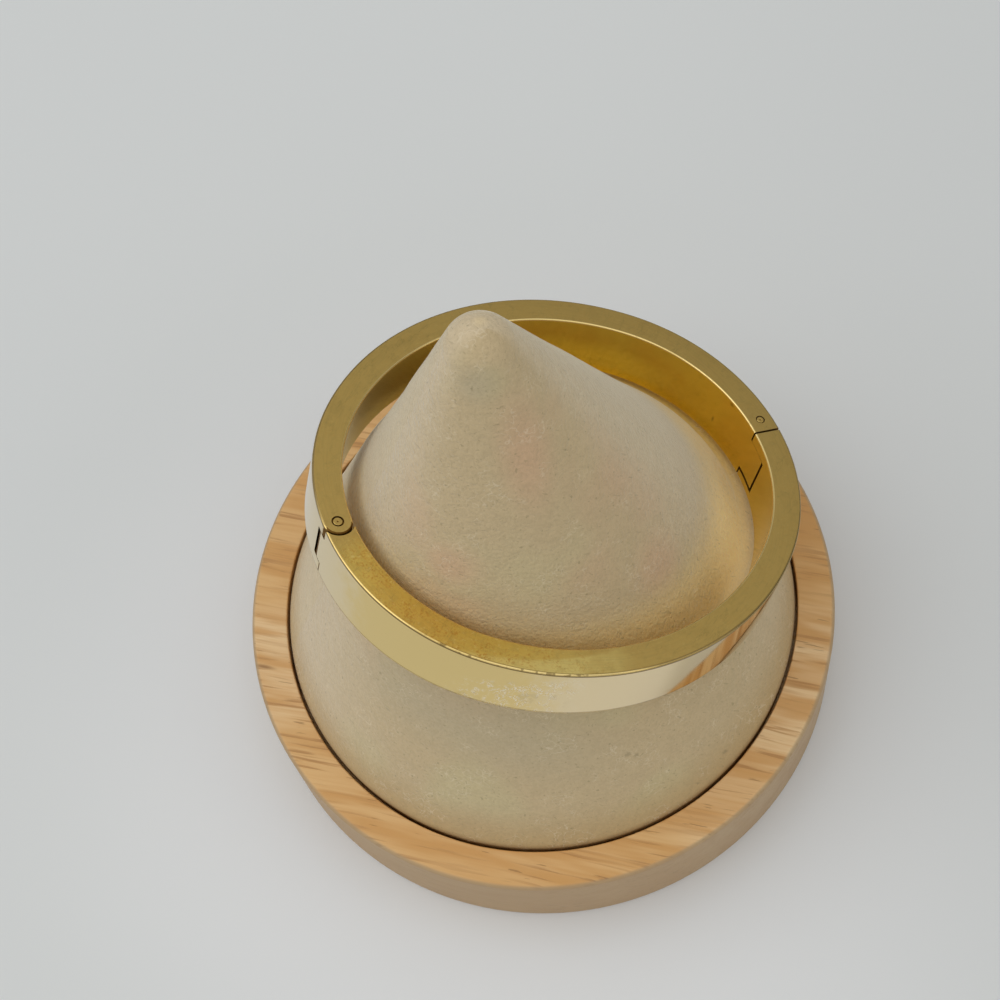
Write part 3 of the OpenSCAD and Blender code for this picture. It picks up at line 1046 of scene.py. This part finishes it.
class BANGLE_OT_band_halves(bpy.types.Operator):
    """Model the rear and the front half of the bangle"""

    bl_idname = "bangle.band_halves"
    bl_label = "Band halves"

    def execute(self, context):
        look = context.scene.bangle_gold
        finishes = [
            rim_finish(look),
            outer_finish(look),
            inner_finish(look),
            edge_finish(look),
            cut_finish(look),
        ]
        rear = self.rear_half(look)
        front = self.front_half(look)
        for piece, body, node in ((rear, STAND, "rear_half"), (front, FRONT, "front_half")):
            band_materials(piece, finishes)
            put_on_cone(piece)
            end_piece(piece, body, [node])
        return {"FINISHED"}

    def rear_half(self, look):
        """Half with the two round ears of the hinge and the slot for the tongue's root"""
        path = [
            (RIGHT_END, -SPLIT_TURN + SEAM_HALF_TURN, BLEND),
            (REAR_SIDE, BLEND, 180 - BLEND),
            (LEFT_END, 180 - BLEND, EAR_END_TURN),
        ]
        piece = sweep(
            "rear_band", WALL_IN_R, END_ARC_R, 0.0, BAND_H, path, look.bevel, look.bevel_steps
        )
        ear_top = EAR_H - LOWER_EAR_EASE
        work(piece, self.past_hinge(ear_top, BAND_H + PAST), "DIFFERENCE")
        round_end = add_pillar("round_end", LOWER_EAR_R, -2 * PAST, EAR_H + PAST, HINGE_AT)
        lower_end = self.past_hinge(-PAST, ear_top)
        work(lower_end, round_end, "DIFFERENCE")
        work(piece, lower_end, "DIFFERENCE")
        work(piece, self.upper_ear(look), "UNION")
        hollow = add_pillar("hollow", CLEAR_R, EAR_H, BAND_H - EAR_H, HINGE_AT)
        work(piece, hollow, "DIFFERENCE")
        slot = sweep(
            "slot",
            ROOT_R0 - ROOT_GAP,
            ROOT_R0 + ROOT_T + ROOT_GAP,
            TONGUE_Z0 - ROOT_GAP,
            TONGUE_Z0 + TONGUE_H + ROOT_GAP,
            [(RIGHT_END, -SPLIT_TURN - 1, ROOT_END_TURN + arc_turn(ROOT_GAP, WALL_MID_R))],
        )
        work(piece, slot, "DIFFERENCE")
        bore(piece, HINGE_AT, HINGE_PIN_R, GROOVE)
        bore(piece, CLASP_AT, CLASP_PIN_R, CLASP_GROOVE)
        return piece

    def past_hinge(self, z0, z1):
        """Block that takes in all of the band past the hinge's axis, between two heights"""
        path = [(LEFT_END, HINGE_TURN, EAR_END_TURN + 1)]
        return sweep("past_hinge", WALL_IN_R - PAST, END_ARC_R + PAST, z0, z1, path)

    def upper_ear(self, look):
        """Round ear with its top edge bevelled"""
        ear = add_pillar("ear", EAR_R, BAND_H - EAR_H, BAND_H, HINGE_AT)
        start_piece(ear, "ear")
        pick(ear, "EDGE", lambda e: all(abs(v.co.z - BAND_H) < 0.01 * MM for v in e.verts))
        bpy.ops.mesh.bevel(offset=look.bevel, segments=look.bevel_steps, profile=0.5)
        bpy.ops.object.mode_set(mode="OBJECT")
        return ear

    def front_half(self, look):
        """Half with the hinge's knuckle and the notch for the tongue"""
        seam_shown = arc_turn(SEAM_SHOWN, WALL_MID_R)
        path = [
            (LEFT_END, HINGE_TURN, 180 + BLEND),
            (FRONT_SIDE, 180 + BLEND, 360 - BLEND),
            (RIGHT_END, 360 - BLEND, 360 - SPLIT_TURN - SEAM_HALF_TURN - seam_shown),
        ]
        piece = sweep(
            "front_band", WALL_IN_R, END_ARC_R, 0.0, BAND_H, path, look.bevel, look.bevel_steps
        )
        z0, z1 = EAR_H + LAYER_GAP, BAND_H - EAR_H - LAYER_GAP
        for low, high in ((-PAST, z0), (z1, BAND_H + PAST)):
            work(piece, add_pillar("hollow", CLEAR_R, low, high, HINGE_AT), "DIFFERENCE")
        work(piece, add_pillar("knuckle", EAR_R, z0, z1, HINGE_AT), "UNION")
        drill = add_pillar("drill", HINGE_PIN_R + RUNNING_GAP, -PAST, BAND_H + PAST, HINGE_AT)
        work(piece, drill, "DIFFERENCE")
        notch = sweep(
            "notch",
            WALL_IN_R - PAST,
            WALL_IN_R + TONGUE_T + NOTCH_GAP,
            TONGUE_Z0 - NOTCH_END_SHOWN,
            TONGUE_Z0 + TONGUE_H + NOTCH_TOP_SHOWN,
            [(RIGHT_END, TONGUE_TIP_TURN - arc_turn(NOTCH_END_SHOWN, WALL_IN_R), 0.0)],
        )
        work(piece, notch, "DIFFERENCE")
        return piece


class BANGLE_OT_clasp_tongue(bpy.types.Operator):
    """Model the tongue that closes into the notch"""

    bl_idname = "bangle.clasp_tongue"
    bl_label = "Clasp tongue"

    def execute(self, context):
        look = context.scene.bangle_gold
        z0, z1 = TONGUE_Z0, TONGUE_Z0 + TONGUE_H
        tongue = sweep(
            "tongue_plate",
            WALL_IN_R,
            WALL_IN_R + TONGUE_T,
            z0,
            z1,
            [(RIGHT_END, TONGUE_TIP_TURN, ROOT_END_TURN)],
        )
        relief = sweep(
            "relief",
            WALL_IN_R - PAST,
            ROOT_R0,
            z0 - PAST,
            z1 + PAST,
            [(RIGHT_END, -SPLIT_TURN + SEAM_HALF_TURN, ROOT_END_TURN + 1)],
        )
        work(tongue, relief, "DIFFERENCE")
        drill = add_pillar("drill", CLASP_PIN_R, -PAST, BAND_H + PAST, CLASP_AT)
        work(tongue, drill, "DIFFERENCE")
        for finish in (inner_finish(look), cut_finish(look)):
            tongue.data.materials.append(finish)
        for face in tongue.data.polygons:
            on_wall = wall_depth(face.center) > WALL_T - 0.03 * MM
            face.material_index = 0 if on_wall else 1
        put_on_cone(tongue)
        end_piece(tongue, STAND, ["clasp_tongue"])
        return {"FINISHED"}


class BANGLE_OT_pins(bpy.types.Operator):
    """Model the hinge pin and the clasp pin"""

    bl_idname = "bangle.pins"
    bl_label = "Pins"

    def execute(self, context):
        look = context.scene.bangle_gold
        finishes = (rim_finish(look), cut_finish(look))
        self.pin("hinge_rivet", HINGE_AT, HINGE_PIN_R, "hinge_pin", finishes)
        self.pin("clasp_rivet", CLASP_AT, CLASP_PIN_R, "clasp_pin", finishes)
        return {"FINISHED"}

    def pin(self, name, at, radius, node, finishes):
        """Pin whose heads are turned down and eased, with a small pit in the middle"""
        piece = add_pillar(name, radius, GROOVE_DEPTH, BAND_H - GROOVE_DEPTH, at)
        start_piece(piece, name)
        head_r = radius - HEAD_STEP
        for out in (-1.0, 1.0):
            pick(piece, "FACE", lambda f: f.normal.z * out > 0.9)
            bpy.ops.mesh.inset(thickness=HEAD_STEP, depth=0.0)
            bpy.ops.mesh.extrude_region_move(
                TRANSFORM_OT_translate={"value": (0.0, 0.0, out * (GROOVE_DEPTH - HEAD_EASE))}
            )
            bpy.ops.mesh.inset(thickness=HEAD_EASE, depth=0.8 * HEAD_EASE)
            bpy.ops.mesh.inset(thickness=head_r - HEAD_EASE - HEAD_PIT_R, depth=0.0)
            bpy.ops.mesh.inset(thickness=HEAD_EASE, depth=-1.2 * HEAD_EASE)
        bpy.ops.object.mode_set(mode="OBJECT")
        for finish in finishes:
            piece.data.materials.append(finish)
        for face in piece.data.polygons:
            sunk = min(face.center.z, BAND_H - face.center.z) > 1.1 * HEAD_EASE
            face.material_index = 1 if sunk else 0
        put_on_cone(piece)
        end_piece(piece, STAND, [node])


class BANGLE_OT_stage(bpy.types.Operator):
    """Set the floor, the soft light and the camera"""

    bl_idname = "bangle.stage"
    bl_label = "Stage"

    def execute(self, context):
        look = context.scene.bangle_stage
        bpy.ops.mesh.primitive_plane_add(size=40.0, location=(0.0, 0.0, 0.0))
        floor = context.object
        floor.name = "floor"
        finish = Finish("pale_floor", look.floor, Roughness=0.8)
        finish.set("Specular IOR Level", 0.2)
        _, distance, _ = finish.place(shift=(-2.0, -12.0, 0.0)).around()
        # Painted light and shade on the floor: lighter round the stand and darker towards the right,
        # besides its soft random tone
        finish.lay(look.painted_light_floor, distance.ramp(95.0, 48.0))
        shade = finish.spot((122.0, 15.0, 0.0), (115.0, 250.0, 50.0))
        tone = finish.place().noise(120.0) * 0.2 + shade
        finish.lay(toned(look.floor, 0.92), tone, 0.85)
        floor.data.materials.append(finish.done())
        self.light(look)
        self.camera(context)
        return {"FINISHED"}

    def light(self, look):
        """Soft room light, brighter on the left and in front, and two soft lights"""
        world = bpy.data.worlds.new("room")
        bpy.context.scene.world = world
        world.use_nodes = True
        sky = Nodes(world.node_tree)
        direction = sky.coordinates("Generated")
        aside = direction.reckon_place("DOT_PRODUCT", BRIGHT_SIDE, "Value")
        room = sky.mix(aside.ramp(-0.9, 0.7), look.far_room, look.room)
        up = direction.parts()[2]
        light = sky.mix(up.reckon("POWER", 2.0), room, look.ceiling)
        sky.feed(sky.tree.nodes["Background"].inputs["Color"], light)
        self.lamp("soft_window", WINDOW_AT, 1.3, look.window, (1.0, 1.0, 1.0))
        self.lamp("soft_fill", FILL_AT, 0.6, look.fill, look.fill_colour)
        bpy.context.scene.view_settings.view_transform = "Standard"

    def lamp(self, name, at, size, power, colour):
        """Round soft light aimed at the stand"""
        bpy.ops.object.light_add(type="AREA", location=at)
        lamp = bpy.context.object
        lamp.name = name
        lamp.data.shape = "DISK"
        lamp.data.size = size
        lamp.data.energy = power
        lamp.data.color = colour
        aim = Vector((0.0, 0.0, 0.05)) - at
        lamp.rotation_euler = aim.to_track_quat("-Z", "Y").to_euler()

    def camera(self, context):
        """Camera at the photograph's viewing angle"""
        bpy.ops.object.camera_add(location=CAMERA_AT)
        camera = context.object
        camera.name = "photo_view"
        axes = Matrix((CAMERA_RIGHT, CAMERA_UP, CAMERA_BACK)).transposed()
        camera.rotation_euler = axes.to_euler()
        camera.data.sensor_width = SENSOR
        camera.data.lens = LENS
        camera.data.clip_start = 0.01
        context.scene.camera = camera


class BANGLE_PT_sidebar(bpy.types.Panel):
    """Sizes, colours and build steps of the bangle"""

    bl_idname = "BANGLE_PT_sidebar"
    bl_label = "Hinged bangle"
    bl_space_type = "VIEW_3D"
    bl_region_type = "UI"
    bl_category = "Bangle"

    def draw(self, context):
        for group in (WoodFinish, SuedeFinish, GoldFinish, StageLook):
            box = self.layout.box()
            box.label(text=group.__doc__)
            for name in group.__annotations__:
                box.prop(getattr(context.scene, SETTINGS[group]), name)
        for step in STEPS:
            self.layout.operator(step.bl_idname)


SETTINGS = {
    WoodFinish: "bangle_wood",
    SuedeFinish: "bangle_suede",
    GoldFinish: "bangle_gold",
    StageLook: "bangle_stage",
}
STEPS = (
    BANGLE_OT_stage,
    BANGLE_OT_wooden_base,
    BANGLE_OT_covered_cone,
    BANGLE_OT_band_halves,
    BANGLE_OT_clasp_tongue,
    BANGLE_OT_pins,
)


def register():
    for kind in (*SETTINGS, *STEPS, BANGLE_PT_sidebar):
        bpy.utils.register_class(kind)
    for group, name in SETTINGS.items():
        setattr(bpy.types.Scene, name, PointerProperty(type=group))


def unregister():
    for name in SETTINGS.values():
        delattr(bpy.types.Scene, name)
    for kind in (BANGLE_PT_sidebar, *STEPS, *SETTINGS):
        bpy.utils.unregister_class(kind)


def main():
    register()
    bpy.ops.object.select_all(action="DESELECT")
    bpy.ops.bangle.stage()
    bpy.ops.bangle.wooden_base()
    bpy.ops.bangle.covered_cone()
    bpy.ops.bangle.band_halves()
    bpy.ops.bangle.clasp_tongue()
    bpy.ops.bangle.pins()


if __name__ == "__main__":
    main()
